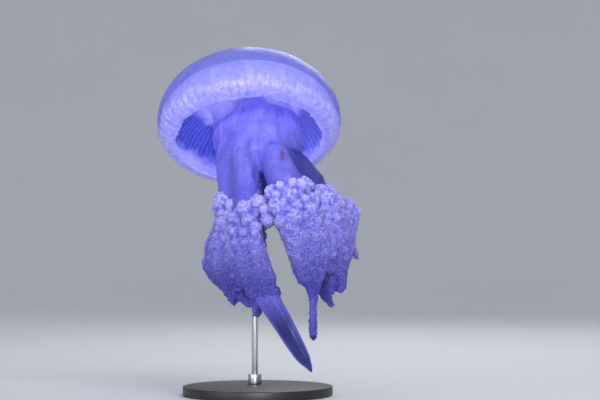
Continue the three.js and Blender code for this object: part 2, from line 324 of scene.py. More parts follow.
# %% [markdown]
# ## The manubrium, the arms and the clubs
#
# These are soft shapes that flow into each other. The solid model has them as separate lengths with
# flat ends, so copies of the lengths are put together and remeshed with small voxels, which melts the
# joints away. The frilled lengths are thinned first, since the frills that cover them bring their own
# thickness. The frills are deepest at the top of an arm and less than half as deep at its club.

# %% Measure the arms
ARMS = range(1, 9)
LEFT_ARMS = (3, 4, 5, 6)
RIGHT_ARMS = (7, 8, 1, 2)
DEEPEST_FRILL = 11 * MM
OVERLAP = 0.6 * MM


def tree_of(*names):
    """A search tree of a few solid nodes together."""
    together = bmesh.new()
    for name in names:
        together.from_mesh(nodes[name].data)
    tree = BVHTree.FromBMesh(together)
    together.free()
    return tree


def line_of(arm):
    """Where an arm's frilled length starts and ends, from the ends of the lengths beside it."""
    ends = []
    for part in ("stalk", "club"):
        tree = tree_of(f"arm_{arm}_{part}")
        corners = [vertex.co for vertex in nodes[f"arm_{arm}_frill"].data.vertices]
        ring = [corner for corner in corners if tree.find_nearest(corner)[3] < 1.5 * MM]
        ends.append(sum(ring, Vector()) / len(ring))
    return ends


lines = {arm: line_of(arm) for arm in ARMS}
stalk_trees = {arm: tree_of(f"arm_{arm}_stalk") for arm in ARMS}


def along(places, arm):
    """Each place's share of the way down an arm, 0 at the top of its frills, and its distance from it."""
    top, bottom = (np.array(end) for end in lines[arm])
    share = (places - top) @ (bottom - top) / ((bottom - top) @ (bottom - top))
    on_line = top + np.clip(share, 0, 1)[:, None] * (bottom - top)
    return share, np.linalg.norm(places - on_line, axis=1)


def nearest_arms(places, arms):
    """Each place's nearest arm, and its share of the way down that arm."""
    shares, distances = np.array([along(places, arm) for arm in arms]).transpose(1, 0, 2)
    nearest = np.argmin(distances, axis=0)
    return np.array(arms)[nearest], shares[nearest, np.arange(len(places))]


def frill_depth(share):
    """How far the frills stand out of the flesh, from the share of the way down an arm."""
    return DEEPEST_FRILL * (1 - 0.6 * ramp(share, 0.1, 1))


print("frilled lengths", [round((bottom - top).length, 3) for top, bottom in lines.values()], "m")


# %% Helpers for copying the lengths
def pushed(node, depth_at):
    """A copy of a solid node with every vertex pushed in by its own depth."""
    copy = copy_of(node)
    copy.normal_update()
    moves = [(vertex, vertex.normal * depth_at(vertex.co)) for vertex in copy.verts]
    for vertex, move in moves:
        vertex.co -= move
    return copy


def whole(node):
    """A copy of a solid node, swollen enough to run into the next one."""
    return pushed(node, lambda place: -OVERLAP)


def core_of(arm, sunk=0):
    """An arm's frilled length without its frills, thinned except where it joins the stalk."""
    def depth_at(place):
        from_stalk = stalk_trees[arm].find_nearest(place)[3]
        share = along(np.array([place]), arm)[0][0]
        thinned = ramp(from_stalk, 0, 10 * MM) * frill_depth(share)
        return float(thinned + sunk * ramp(-share, -0.3, -0.1)) - OVERLAP

    return pushed(f"arm_{arm}_frill", depth_at)


def add_to(target, copy):
    """Adds one bmesh to another and frees it."""
    mesh = mesh_of(copy, "copy")
    target.from_mesh(mesh)
    bpy.data.meshes.remove(mesh)


# %% [markdown]
# ## Webs between the arms
#
# Fine voxels turn overlapping copies into one surface. The arms of a real animal are webbed to each
# other where they leave the manubrium. To get webs, a shape is swollen, melted, and drawn back by the
# same amount: clefts that closed up stay closed. The arms here hang in two groups, so each group is
# webbed by itself, and a cleft stays open between the two.

# %% Helpers for melting shapes together
VOXEL = 2.3 * MM


def melt(piece, voxel):
    """Replaces a piece's mesh with one surface made of voxels."""
    remesh = piece.modifiers.new("melt", "REMESH")
    remesh.mode = "VOXEL"
    remesh.voxel_size = voxel
    remesh.use_smooth_shade = True
    return apply_modifiers(piece)


def swell(piece, amount, share_at):
    """Moves a piece's surface outwards, or inwards when the amount is negative."""
    places = places_of(piece.data)
    places += places_of(piece.data, "normal") * amount * share_at(places)
    move_to(piece, places)


def web(piece, reach, share_at=lambda places: 1):
    """Fills clefts up to twice the reach wide, wherever the share is 1."""
    melt(piece, VOXEL)
    swell(piece, reach, share_at)
    melt(piece, VOXEL)
    swell(piece, -reach, share_at)


def relax(piece, rounds, share_at=lambda places: 1):
    """Smooths a piece's surface a number of times, as strongly as the share says."""
    places = places_of(piece.data)
    moved = smoothed(piece.data, places, rounds) - places
    move_to(piece, places + moved * share_at(places))


# %% Grow each group of arms together
# A share of more than 1 lies below an arm's frilled length, on its club.
LONG_CLUBS = (6, 7)
CLUB_STARTS = (1.02, 1.12)  # the shares between which an arm turns into its club
SHORT_CLUB_FRILL = 1.6 * MM
CLUB_WEB = 6 * MM
ARM_WEB = 18 * MM
WEB_ENDS = (1.14, 1.5)  # the shares at which the webs end, on long clubs and on short ones
WEB_FADE = 0.33
ARM_BLEND = 4 * MM  # the larger it is, the more softly one arm's webs pass into the next arm's
BLUNT_CLUB = 7
BLUNT_WIDTHS = (0.9, 1.45)  # how much wider the blunt club gets, at its top and towards its tip
BLUNT_TIP = 0.88  # of the blunt club's length, beyond which its tip is pressed in
BLUNT_PRESS = 0.8


def club_of(arm):
    """A copy of a club: the long ones are bare, and the short ones leave room for small frills."""
    club = pushed(f"arm_{arm}_club", lambda place: -OVERLAP if arm in LONG_CLUBS else SHORT_CLUB_FRILL)
    if arm == BLUNT_CLUB:
        top = lines[arm][1]
        tip = max((vertex.co.copy() for vertex in club.verts), key=lambda place: (place - top).length)
        for vertex in club.verts:
            share = (vertex.co - top).dot(tip - top) / (tip - top).length_squared
            on_axis = top + share * (tip - top)
            rounding = max(0, share - BLUNT_TIP) * BLUNT_PRESS * (tip - top)
            wider = BLUNT_WIDTHS[0] + (BLUNT_WIDTHS[1] - BLUNT_WIDTHS[0]) * float(ramp(share, 0.2, 0.9))
            vertex.co = on_axis + (vertex.co - on_axis) * wider - rounding
    return club


def frilled_arm(arm):
    """An arm's frilled length and its club, grown together."""
    flesh = core_of(arm)
    add_to(flesh, club_of(arm))
    piece = finish_piece(flesh, f"arm_{arm}")
    web(piece, CLUB_WEB, lambda places: 1 - ramp(along(places, arm)[0], *CLUB_STARTS)[:, None])
    return piece


def above_clubs(places, arms):
    """1 for the places above the clubs, and 0 on the clubs. Short clubs are webbed further down."""
    total, weights = 0, 0
    for arm in arms:
        share, distance = along(places, arm)
        end = WEB_ENDS[0] if arm in LONG_CLUBS else WEB_ENDS[1]
        weight = 1 / (distance + ARM_BLEND) ** 3
        total = total + weight * (1 - ramp(share, end - WEB_FADE, end))
        weights = weights + weight
    return (total / weights)[:, None]


def group_of(arms, name):
    """The arms of one group, webbed down to their clubs."""
    flesh = bmesh.new()
    for arm in arms:
        piece = frilled_arm(arm)
        flesh.from_mesh(piece.data)
        bpy.data.objects.remove(piece)
        add_to(flesh, whole(f"arm_{arm}_stalk"))
    group = finish_piece(flesh, name)
    web(group, ARM_WEB, lambda places: above_clubs(places, arms))
    melt(group, VOXEL)
    relax(group, 3)
    return group


groups = [group_of(LEFT_ARMS, "left_group"), group_of(RIGHT_ARMS, "right_group")]
print("groups of", [len(group.data.polygons) for group in groups], "faces")

# %% [markdown]
# ## One soft body
#
# The pillars flare out where they grow into the ceiling of the bell. They, the arm disc, the clubs and
# the two groups of arms are melted into one body, which is webbed once more at the top, thinned to
# fewer faces where it is flat, and joined to the bell by a boolean.

# %% Put the body together
PILLARS = ["pillar_right", "pillar_back", "pillar_left", "pillar_front"]
FLARE = 13 * MM
FLARE_HEIGHT = 34 * MM
TOP_WEB = 14 * MM
KEPT_FACES = 0.45

flesh = bmesh.new()
for name in PILLARS:
    pillar = whole(name)
    upright_places = [(vertex, to_bell @ vertex.co) for vertex in pillar.verts]
    top = [place for _, place in upright_places if place.z > CEILING - 3 * MM]
    middle = sum(top, Vector()) / len(top)
    for vertex, place in upright_places:
        outwards = Vector((place.x - middle.x, place.y - middle.y, 0))
        flare = FLARE * float(ramp(place.z, CEILING - FLARE_HEIGHT, CEILING)) ** 2
        rise = 5 * MM if place.z > CEILING - 3 * MM else 0
        vertex.co = to_world @ (place + outwards.normalized() * flare + Vector((0, 0, rise)))
    add_to(flesh, pillar)
for name in ("arm_disc", "fused_arms"):
    add_to(flesh, whole(name))
for arm in ARMS:
    add_to(flesh, club_of(arm))
for group in groups:
    flesh.from_mesh(group.data)
body = finish_piece(flesh, "arms_skin")


def near_the_bell(places):
    """1 for the places from the bell down to the forks of the arms, and 0 further down."""
    matrix = np.array(to_bell)
    return ramp(places @ matrix[2, :3] + matrix[2, 3], -125 * MM, -70 * MM)[:, None]


web(body, TOP_WEB, near_the_bell)
melt(body, VOXEL)
relax(body, 4, lambda places: above_clubs(places, ARMS))
relax(body, 1)
thin = body.modifiers.new("thin", "DECIMATE")
thin.ratio = KEPT_FACES
apply_modifiers(body)
print("arms of", len(body.data.polygons), "faces")

# %% Join the arms to the bell
join = bell_piece.modifiers.new("join", "BOOLEAN")
join.operation = "UNION"
join.solver = "MANIFOLD"
join.object = body
skin = apply_modifiers(bell_piece)
skin.name = skin.data.name = "skin"
bpy.data.objects.remove(body)
for face in skin.data.polygons:
    face.use_smooth = True
print("skin of", len(skin.data.polygons), "faces")

# %% [markdown]
# ## Marking the skin's regions
#
# One material covers the whole skin, so it needs to know what is where. Each vertex is turned back
# into the bell's frame and compared with the two sides of the bell's section. What lies on neither
# is an arm. The regions fade into each other, as they do in an animal without any hard edges.

# %% Mark the regions
VEILED_ARM = 8
VEIL_TOP = (-0.65, -0.1)  # the shares of the way down that arm between which the veil sets in
VEIL_BOTTOM = (0.16, 0.3)


def distance_to(line, places):
    """The distance from each (radius, height) place to a line through points."""
    nearest = np.full(len(places), np.inf)
    for start, end in zip(line, line[1:]):
        start, way = np.array((start.x, start.z)), np.array((end.x - start.x, end.z - start.z))
        share = np.clip((places - start) @ way / max(way @ way, 1e-12), 0, 1)
        nearest = np.minimum(nearest, np.linalg.norm(places - start - share[:, None] * way, axis=1))
    return nearest


matrix = np.array(to_bell)
skin_places = places_of(skin.data)
in_bell = skin_places @ matrix[:3, :3].T + matrix[:3, 3]
around = np.stack([np.hypot(in_bell[:, 0], in_bell[:, 1]), in_bell[:, 2]], 1)
from_outside = distance_to([*dome_line, *outer_margin], around)
from_inside = distance_to([*inner_margin, *hollow_line, *ceiling_line], around)
near_axis = ramp(-around[:, 0], -108 * MM, -98 * MM)
arm_share = np.maximum(ramp(np.minimum(from_outside, from_inside), 1 * MM, 9 * MM) * near_axis,
                       ramp(-around[:, 1], LIP_DROP + 2 * MM, LIP_DROP + 8 * MM))
outside_share = ramp(from_inside - from_outside, -1 * MM, 2 * MM) * (1 - arm_share)
mark(skin, "arm", arm_share)
mark(skin, "outside", outside_share)
mark(skin, "lip", ramp(-around[:, 0], -LIP_RADIUS - 9 * MM, -LIP_RADIUS + 3 * MM)
     * ramp(-around[:, 1], 0.7 * LIP_DROP, LIP_DROP))
mark(skin, "relief", relief(skin.data, 25) / (1.5 * MM))
nearest, share_down = nearest_arms(skin_places, ARMS)
mark(skin, "down", share_down)

# The more squarely the skin faces across the longest club, the nearer it is to one of its edges. The
# clubs are painted paler there, a painted sheen along their edges.
longest = LONG_CLUBS[0]
club_top = lines[longest][1]
club_tip = max((vertex.co for vertex in nodes[f"arm_{longest}_club"].data.vertices),
               key=lambda place: (place - club_top).length)
across = (club_tip - club_top).cross(Vector((0, 1, 0))).normalized()
mark(skin, "edge", np.abs(places_of(skin.data, "normal") @ np.array(across)))

# The veil is one stalk, with the bare top of the frilled length below it.
veil_tree = stalk_trees[VEILED_ARM]
from_veil = np.array([veil_tree.find_nearest(place)[3] if share > 0.5 else 1
                      for place, share in zip(skin_places, arm_share)])
bare_top = (nearest == VEILED_ARM) * (1 - ramp(share_down, *VEIL_BOTTOM)) * ramp(share_down, *VEIL_TOP)
mark(skin, "veil", np.maximum(1 - ramp(from_veil, 2 * MM, 8 * MM), bare_top * arm_share))
print("outside", round(float(outside_share.mean()), 2), "arms", round(float(arm_share.mean()), 2))

# %% [markdown]
# ## The frills
#
# Each arm's edge is folded into thousands of tiny mouths, which look like a cauliflower. A real one
# grows lobes on lobes, and so does this: large round florets stand all over the thinned length, each
# carries smaller ones, and fine voxels melt them together but keep the clefts between them.

# %% Shape a few florets
GOLDEN_ANGLE = 2.4


def ball(target, centre, size, detail, rng):
    """A slightly squashed ball, turned at random."""
    turn = Euler([rng.uniform(0, math.tau) for _ in range(3)]).to_matrix().to_4x4()
    squash = Matrix.Diagonal((rng.uniform(0.85, 1), rng.uniform(0.85, 1), rng.uniform(0.95, 1.1), 1))
    bmesh.ops.create_icosphere(target, subdivisions=detail, radius=size,
                               matrix=Matrix.Translation(centre) @ turn @ squash)


def floret_shape(seed, buds, detail):
    """A floret one unit in radius, with low buds spread evenly over its upper side."""
    rng = random.Random(seed)
    shape = bmesh.new()
    ball(shape, Vector((0, 0, 0)), 0.88, detail + 1, rng)
    for bud in range(buds):
        height = 1 - 1.5 * (bud + rng.uniform(0.1, 0.9)) / buds
        bearing = bud * GOLDEN_ANGLE + rng.uniform(-0.35, 0.35)
        wide = math.sqrt(1 - height * height)
        way = Vector((wide * math.cos(bearing), wide * math.sin(bearing), height))
        size = rng.uniform(1.2, 1.65) / math.sqrt(buds)
        ball(shape, way * rng.uniform(0.97, 1.04) * (1 - size), size, detail, rng)
    return mesh_of(shape, "floret")


large_florets = [floret_shape(seed, 30, 2) for seed in range(8)]
small_florets = [floret_shape(seed, 12, 1) for seed in range(8)]
print("florets of", [len(shapes[0].polygons) for shapes in (large_florets, small_florets)], "faces")


# %% Helpers for placing florets
def joined(shapes, name):
    """One piece from many (mesh, matrix) pairs."""
    corners, faces, first = [], [], 0
    for mesh, matrix in shapes:
        matrix = np.array(matrix)
        places = places_of(mesh) @ matrix[:3, :3].T + matrix[:3, 3]
        triangles = np.empty(len(mesh.polygons) * 3, np.int32)
        mesh.polygons.foreach_get("vertices", triangles)
        corners.append(places)
        faces.append(triangles.reshape(-1, 3) + first)
        first += len(places)
    mesh = bpy.data.meshes.new(name)
    mesh.from_pydata(np.concatenate(corners), [], np.concatenate(faces))
    return put(name, mesh)


def triangles_of(mesh):
    """A bmesh of a mesh, with triangles for faces."""
    shape = bmesh.new()
    shape.from_mesh(mesh)
    bmesh.ops.triangulate(shape, faces=shape.faces)
    shape.normal_update()
    return shape


def scattered(shape, face_sizes, face_gaps, rng, parts=(1, 0.6)):
    """Random spots as (face, place, size): large ones first, then smaller ones in between."""
    faces = [(face, size, gap) for face, size, gap in zip(shape.faces, face_sizes, face_gaps) if size > 0]
    weights = [face.calc_area() for face, _, _ in faces]
    places, claims, spots = np.empty((6000, 3)), np.empty(6000), []
    for part in parts:
        tries = int(sum(weights) / (6 * MM * part) ** 2 * 4)
        for face, largest, gap in rng.choices(faces, weights=weights, k=tries):
            a, b, c = (loop.vert.co for loop in face.loops[:3])
            u, v = rng.random(), rng.random()
            if u + v > 1:
                u, v = 1 - u, 1 - v
            place = a + u * (b - a) + v * (c - a)
            size = largest * part * rng.uniform(0.55, 1)
            claim, count = size * gap / 2, len(spots)
            apart = np.linalg.norm(places[:count] - np.array(place), axis=1)
            if count < len(claims) and (apart > claims[:count] + claim).all():
                places[count], claims[count] = place, claim
                spots.append((face, place, size))
    return spots


def floret_at(place, normal, size, depth, rng):
    """One floret, as (mesh, matrix), whose top stands a depth above the flesh."""
    centre = place + normal * (depth - size)
    turn = normal.to_track_quat("Z", "Y").to_matrix() @ Matrix.Rotation(rng.uniform(0, math.tau), 3, "Z")
    shapes = large_florets if size > 7 * MM else small_florets
    return rng.choice(shapes), Matrix.Translation(centre) @ turn.to_4x4() @ Matrix.Scale(size, 4)


# %% [markdown]
# Where do the florets go? Each group of arms is one surface now, and every face of it belongs to the
# arm whose middle line is nearest. How far down that arm the face lies decides the size of its florets:
# big round ones at the top, and finer and finer ones towards the club. The stalks stay bare, apart from
# small florets that climb the inner edge of one of them. Where the groups face each other under the
# fork, the florets stand out further and bridge the gap, so that the groups touch there. Loose lobes
# hang between the lower ends, one of them beside the long club.

# %% Scatter the florets
LARGEST = {LEFT_ARMS: 17 * MM, RIGHT_ARMS: 22 * MM}
SHRINK = 0.72  # how much smaller the florets get on the way down an arm
CLIMB = 0.5  # of the frilled length, up the inner edge of the climbing arm
CLIMBER = 6
CLIMBING_SIZE = 5 * MM
VEIL_END = 0.14  # of the frilled length, down which the veil stays bare
CLUB_FLORETS = (4.5 * MM, 3 * MM)  # the sizes on the blunt club and on the top of the long one
# How far florets stand out on the blunt, the long and the short clubs, times SHORT_CLUB_FRILL.
CLUB_STANDS = (2.4, 0.7, 1.4)
FRONT = Vector((0, -1, 0))
INNER_ARMS = (6, 7)
TOUCH = 10 * MM  # how much further florets stand out where the two inner arms face each other
BRIDGED_GAP = 17.5 * MM  # where the two inner arms are closer than this, florets bridge them
BRIDGE_EXTRA = (3.5, 5.5)  # mm that a bridging floret reaches past half the gap
STRAYS = 5  # loose lobes on the outer side of each group
STRAY_SIZES = (7.2, 9)  # mm
LOBE_FLORETS = 5
# Each arm's loose lobe: its start and end, from the arm's lower end, and its sizes there, all in mm.
LOBES = {
    6: (Vector((-16, 2, 12)), Vector((-22, 4, -30)), (15, 4)),
    5: (Vector((5, -2, 12)), Vector((32, -3, -14)), (13, 8.5)),
    8: (Vector((-9, 0, 10)), Vector((-15, -2, -20)), (13, 7)),
}


def florets_over(arms, group):
    """Adds florets to each arm of a group."""
    rng = random.Random(10 + arms[0])
    surface = triangles_of(group.data)
    centres = np.array([face.calc_center_median() for face in surface.faces])
    normals = np.array([face.normal for face in surface.faces])
    arm, share = nearest_arms(centres, arms)
    clubs = tree_of(*[f"arm_{arm}_club" for arm in arms])
    from_club = np.array([clubs.find_nearest(centre)[3] for centre in centres])
    facing = normals[:, 0] * (1 if arms == LEFT_ARMS else -1)

    sizes = LARGEST[arms] * (1 - SHRINK * ramp(share, 0.12, 0.62))
    uneven = np.array([noise(Vector(centre) * 70) for centre in centres])
    patchy = uneven > -0.1 - 2 * share - 0.5 * facing
    climbing = (arm == CLIMBER) & (share > -CLIMB) & (facing > 0.45) & patchy
    bare_above = np.where(arm == VEILED_ARM, VEIL_END, 0)
    sizes = np.where(share > bare_above, sizes, np.where(climbing, CLIMBING_SIZE, 0))
    blunt, long_club = arm == BLUNT_CLUB, np.isin(arm, LONG_CLUBS) & (share > CLUB_STARTS[0])
    frilled_club = blunt | ((share < 1.3) & (uneven > share - 1.2))
    sizes[long_club] = np.where(frilled_club, np.where(blunt, *CLUB_FLORETS), 0)[long_club]
    depths = np.where(from_club < 1 * MM, CLUB_STANDS[2] * SHORT_CLUB_FRILL, frill_depth(share))
    depths[long_club] = np.where(blunt, *CLUB_STANDS[:2])[long_club] * SHORT_CLUB_FRILL
    depths += TOUCH * np.isin(arm, INNER_ARMS) * ramp(facing, 0.2, 0.7) * ramp(-share, -0.5, -0.3)
    depths[climbing & (share < 0)] = 0.8 * CLIMBING_SIZE
    gaps = 1.3 - 0.4 * ramp(share, 0.2, 0.6)

    for face, place, size in scattered(surface, sizes, gaps, rng):
        depth = min(depths[face.index], 0.95 * size) + rng.uniform(-1.5, 0.3) * MM
        spots[arm[face.index]].append(floret_at(place, face.normal, size, depth, rng))
    outer = [i for i in range(len(share)) if 0.25 < share[i] < 0.9 and facing[i] < -0.6]
    for i in rng.sample(outer, STRAYS):
        place, normal = Vector(centres[i]), Vector(normals[i])
        depth = depths[i] + 3 * MM
        place.x = min(max(place.x, solid_low.x + depth), solid_high.x - depth)
        spots[arm[i]].append(floret_at(place, normal, rng.uniform(*STRAY_SIZES) * MM, depth, rng))
    surface.free()


def hanging_lobes():
    """Adds loose lobes at the lower ends of some arms, as florets that get smaller on the way down."""
    rng = random.Random(40)
    for arm, (start, end, sizes) in LOBES.items():
        for index in range(LOBE_FLORETS + 1):
            share = index / LOBE_FLORETS
            size = ((1 - share) * sizes[0] + share * sizes[1]) * MM
            place = lines[arm][1] + start.lerp(end, share) * MM
            spots[arm].append(floret_at(place, FRONT, size, size, rng))


def bridge_florets():
    """Adds florets halfway between the two inner arms, where they come closest."""
    rng = random.Random(30)
    first, second = (f"arm_{arm}_frill" for arm in INNER_ARMS)
    other_side, found = tree_of(second), []
    for vertex in nodes[first].data.vertices:
        place, _, _, gap = other_side.find_nearest(vertex.co)
        halfway = (vertex.co + place) / 2
        if gap < BRIDGED_GAP and all((halfway - centre).length > 5 * MM for centre in found):
            found.append(halfway)
            size = gap / 2 + rng.uniform(*BRIDGE_EXTRA) * MM
            spots[rng.choice(INNER_ARMS)].append(floret_at(halfway, FRONT, size, size, rng))
    return len(found)


spots = {arm: [] for arm in ARMS}
for arms, group in zip((LEFT_ARMS, RIGHT_ARMS), groups):
    florets_over(arms, group)
    bpy.data.objects.remove(group)
hanging_lobes()
print("bridged by", bridge_florets(), "florets")
print("florets", {arm: len(found) for arm, found in spots.items()})

# %% [markdown]
# The florets of an arm and its thinned length are melted into one piece. A fine crumple is pressed into
# it, stronger towards the club, where the folds are too small to be modelled one by one. Each frill also
# gets a map for baking its colours: its surface is unwrapped from round the arm like a sleeve.

# %% Helpers for finishing the frills
def crumpled(piece, share):
    """Presses fine folds into a frill, along its normals."""
    places = places_of(piece.data)
    folds = np.array([noise(Vector(place) / FOLD) for place in places])
    depth = FOLD_DEPTH * (0.35 + 0.65 * ramp(share, 0.1, 0.7))
    places += places_of(piece.data, "normal") * (depth * (folds - 0.25))[:, None]
    move_to(piece, places)


def drop_loose(piece):
    """Keeps only the largest of a piece's loose parts."""
    shape = bmesh.new()
    shape.from_mesh(piece.data)
    left, parts = set(shape.verts), []
    while left:
        part = [left.pop()]
        for vertex in part:
            linked = {edge.other_vert(vertex) for edge in vertex.link_edges} & left
            left -= linked
            part.extend(linked)
        parts.append(part)
    parts.sort(key=len)
    for part in parts[:-1]:
        bmesh.ops.delete(shape, geom=part, context="VERTS")
    shape.to_mesh(piece.data)
    shape.free()


def sleeve_map(piece, arm):
    """A bake map that wraps a piece round the line of its arm, opened along one side."""
    mesh = piece.data
    top, bottom = lines[arm]
    turn = (bottom - top).to_track_quat("Z", "X").to_matrix()
    x, y, down = ((places_of(mesh) - np.array(top)) @ np.array(turn)).T
    corners = np.empty(len(mesh.loops), np.int32)
    starts = np.empty(len(mesh.polygons), np.int32)
    mesh.loops.foreach_get("vertex_index", corners)
    mesh.polygons.foreach_get("loop_start", starts)
    counts = np.diff(np.append(starts, len(corners)))
    around = (np.arctan2(y, x) / math.tau + 0.5)[corners]
    wide = np.maximum.reduceat(around, starts) - np.minimum.reduceat(around, starts) > 0.5
    around = np.where(np.repeat(wide, counts) & (around < 0.5), around + 1, around)
    down = ((down - down.min()) / (down.max() - down.min()))[corners]
    layer = mesh.uv_layers.new(name="OFBake")
    spread = np.stack([0.02 + 0.64 * around, 0.02 + 0.96 * down], 1)
    layer.data.foreach_set("uv", spread.astype(np.float32).ravel())


# %% Grow the frills
FRILL_VOXEL = 1.1 * MM
SUNK = 1.6 * MM  # a frill's core lies this far inside the skin at its top, where the skin shows
FOLD = 2.6 * MM
FOLD_DEPTH = 1.9 * MM


def grow_frill(arm):
    """An arm's frill: its thinned length and its florets, melted together and crumpled."""
    core = core_of(arm, sunk=SUNK)
    bmesh.ops.triangulate(core, faces=core.faces)
    piece = joined([(mesh_of(core, "core"), Matrix.Identity(4)), *spots[arm]], f"frill_{arm}")
    melt(piece, FRILL_VOXEL)
    drop_loose(piece)
    relax(piece, 4)
    relax(piece, 7, lambda places: ramp(along(places, arm)[0], 0.2, 0.6)[:, None])
    share = along(places_of(piece.data), arm)[0]
    crumpled(piece, share)
    mark(piece, "coarse", relief(piece.data, 70) / (2.5 * MM))
    mark(piece, "fine", relief(piece.data, 8) / (0.6 * MM))
    mark(piece, "down", share)
    sleeve_map(piece, arm)
    return piece


frills = [grow_frill(arm) for arm in ARMS]
print("frills of", [len(frill.data.polygons) for frill in frills], "faces")

# %% [markdown]
# ## The pale layer inside the bell
#
# Close over the hollow lies a thin sheet full of fine canals. It is paler than the clear jelly around
# it, so it is what the eye sees through the dome. It is spun from the hollow's own line, moved a
# little into the jelly, and given a thin wall.

# %% Make the pale layer
LAYER_DEPTH = 1.7 * MM
LAYER_WALL = 0.5 * MM

layer_line = [*inner_margin[2:-1], *hollow_line, *ceiling_line]
moved = []
for before, here, after in zip(layer_line, layer_line[1:], layer_line[2:]):
    heading = (after - before).normalized()
    moved.append(here + Vector((heading.z, 0, -heading.x)) * LAYER_DEPTH)
moved.append(Vector((0, 0, CEILING + LAYER_DEPTH)))
layer = spun(moved, 192)
bmesh.ops.solidify(layer, geom=layer.faces[:], thickness=LAYER_WALL)
layer.transform(to_world)
canal_layer = finish_piece(layer, "canal_layer")
print("pale layer of", len(canal_layer.data.polygons), "faces")

# %% [markdown]
# ## The stand
#
# A swimming animal needs something to hold it up on a table. The foot is a turned disc with a soft
# edge, and the rod is a plain steel bar in a collar. Both are spun, so that they stay round.

# %% Make the stand
foot_low, foot_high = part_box("stand_foot")
rod_low, rod_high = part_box("stand_rod")
collar_low, collar_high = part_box("stand_collar")
rod_centre = (rod_low + rod_high) / 2


def turned(name, outline, edge, place, sides=96):
    """A turned piece whose outline is (radius, height) pairs, with its corners rounded."""
    shape = spun([Vector((radius, 0, height)) for radius, height in outline], sides)
    corners = [e for e in shape.edges if len(e.link_faces) == 2 and e.calc_face_angle() > 0.6]
    bmesh.ops.bevel(shape, geom=corners, offset=edge, offset_type="OFFSET", segments=3,
                    profile=0.5, affect="EDGES", material=-1)
    shape.transform(Matrix.Translation(place))
    return finish_piece(shape, name)


foot_radius = (foot_high.x - foot_low.x) / 2
foot = turned("stand_foot_disc", [(0, 0), (foot_radius, 0), (foot_radius, foot_high.z), (0, foot_high.z)],
              1.6 * MM, Vector((0, 0, 0)), 160)
rod_radius, rod_top = (rod_high.x - rod_low.x) / 2, rod_high.z - 3 * MM
rod = turned("stand_rod_bar",
             [(0, rod_low.z), (rod_radius, rod_low.z), (rod_radius, rod_top), (0, rod_top)],
             0.3 * MM, Vector((rod_centre.x, rod_centre.y, 0)), 48)
collar_radius = (collar_high.x - collar_low.x) / 2
collar = turned("stand_collar_ring",
                [(rod_radius, collar_low.z), (collar_radius, collar_low.z), (collar_radius, collar_high.z),
                 (rod_radius, collar_high.z), (rod_radius, collar_low.z)],
                0.8 * MM, Vector((rod_centre.x, rod_centre.y, 0)), 64)
print("stand foot", round(2 * foot_radius, 3), "m across")

# %% [markdown]
# ## Building materials
#
# Materials here are small networks of nodes. One helper adds a node and fills its inputs, with either
# a value or another node's output, so that each line of a material reads like a line of a recipe.

# %% Helpers for materials
def tint(red, green, blue):
    """A colour from the usual 0 to 255 numbers, as the shader wants it."""
    def linear(value):
        value /= 255
        return value / 12.92 if value <= 0.04045 else ((value + 0.055) / 1.055) ** 2.4
    return (linear(red), linear(green), linear(blue), 1)


def add(tree, kind, *inputs, out=0, **settings):
    """Adds a node and gives back one of its outputs. An input of None keeps its own value."""
    node = tree.nodes.new("ShaderNode" + kind)
    for key, value in settings.items():
        setattr(node, key, value)
    for socket, value in zip([i for i in node.inputs if i.enabled], inputs):
        if isinstance(value, bpy.types.NodeSocket):
            tree.links.new(value, socket)
        elif value is not None:
            socket.default_value = value
    if isinstance(out, int):
        return node.outputs[out]
    return next(output for output in node.outputs if output.name == out and output.enabled)


def math_node(tree, operation, *inputs):
    """A sum, a product or another operation on numbers."""
    return add(tree, "Math", *inputs, operation=operation)


def times(tree, first, second):
    """The product of two numbers."""
    return math_node(tree, "MULTIPLY", first, second)


def plus(tree, first, second):
    """The sum of two numbers."""
    return math_node(tree, "ADD", first, second)


def place_in(tree):
    """The place on the model, which patterns are fixed to."""
    return add(tree, "TexCoord", out="Object")


def noise_in(tree, scale, detail, roughness):
    """A cloudy pattern."""
    return add(tree, "TexNoise", place_in(tree), scale, detail, roughness)


def bump(tree, strength, distance, height):
    """A fine roughness of the surface."""
    return add(tree, "Bump", strength, distance, 1.0, height)


def blend(tree, factor, first, second):
    """A mix of two colours."""
    return add(tree, "Mix", factor, first, second, data_type="RGBA", out="Result")


def between(tree, factor, first, second):
    """A mix of two numbers."""
    return add(tree, "Mix", factor, first, second, data_type="FLOAT", out="Result")


def step(tree, value, low, high, first=0.0, second=1.0):
    """A soft step from first, below low, to second, above high."""
    return add(tree, "MapRange", value, low, high, first, second, interpolation_type="SMOOTHSTEP")


def read(tree, name):
    """A number that was marked on the mesh."""
    return add(tree, "Attribute", attribute_name=name, out="Fac")


def new_material(name, **values):
    """A Principled material with plain values set on the shader's own sockets."""
    material = bpy.data.materials.new(name)
    material.use_nodes = True
    shader = material.node_tree.nodes["Principled BSDF"]
    for key, value in values.items():
        shader.inputs[key.replace("_", " ")].default_value = value
    return material, material.node_tree, shader


def wire(tree, shader, **sources):
    """Links outputs to the shader's sockets, such as Base_Color."""
    for key, source in sources.items():
        tree.links.new(source, shader.inputs[key.replace("_", " ")])


# %% [markdown]
# ## Shared effects
#
# Four effects turn up on several pieces, so each is made once, as a node group. Cloudiness mottles
# anything that is jelly. Speckle is the fine grain of living tissue. A painted shade darkens the
# animal downwards, for the light that fades below the bell.
# The bell's frame gives height, radius and direction round the bell's axis for anything that follows
# the bell's round shape.

# %% Make the shared node groups
def new_group(name, inputs, outputs):
    """A node group of numbers, and the sockets inside it that give its inputs and take its outputs."""
    group = bpy.data.node_groups.new(name, "ShaderNodeTree")
    for label, value in inputs.items():
        socket = group.interface.new_socket(label, in_out="INPUT", socket_type="NodeSocketFloat")
        socket.default_value = value
    for label in outputs:
        group.interface.new_socket(label, in_out="OUTPUT", socket_type="NodeSocketFloat")
    return group, group.nodes.new("NodeGroupInput").outputs, group.nodes.new("NodeGroupOutput").inputs


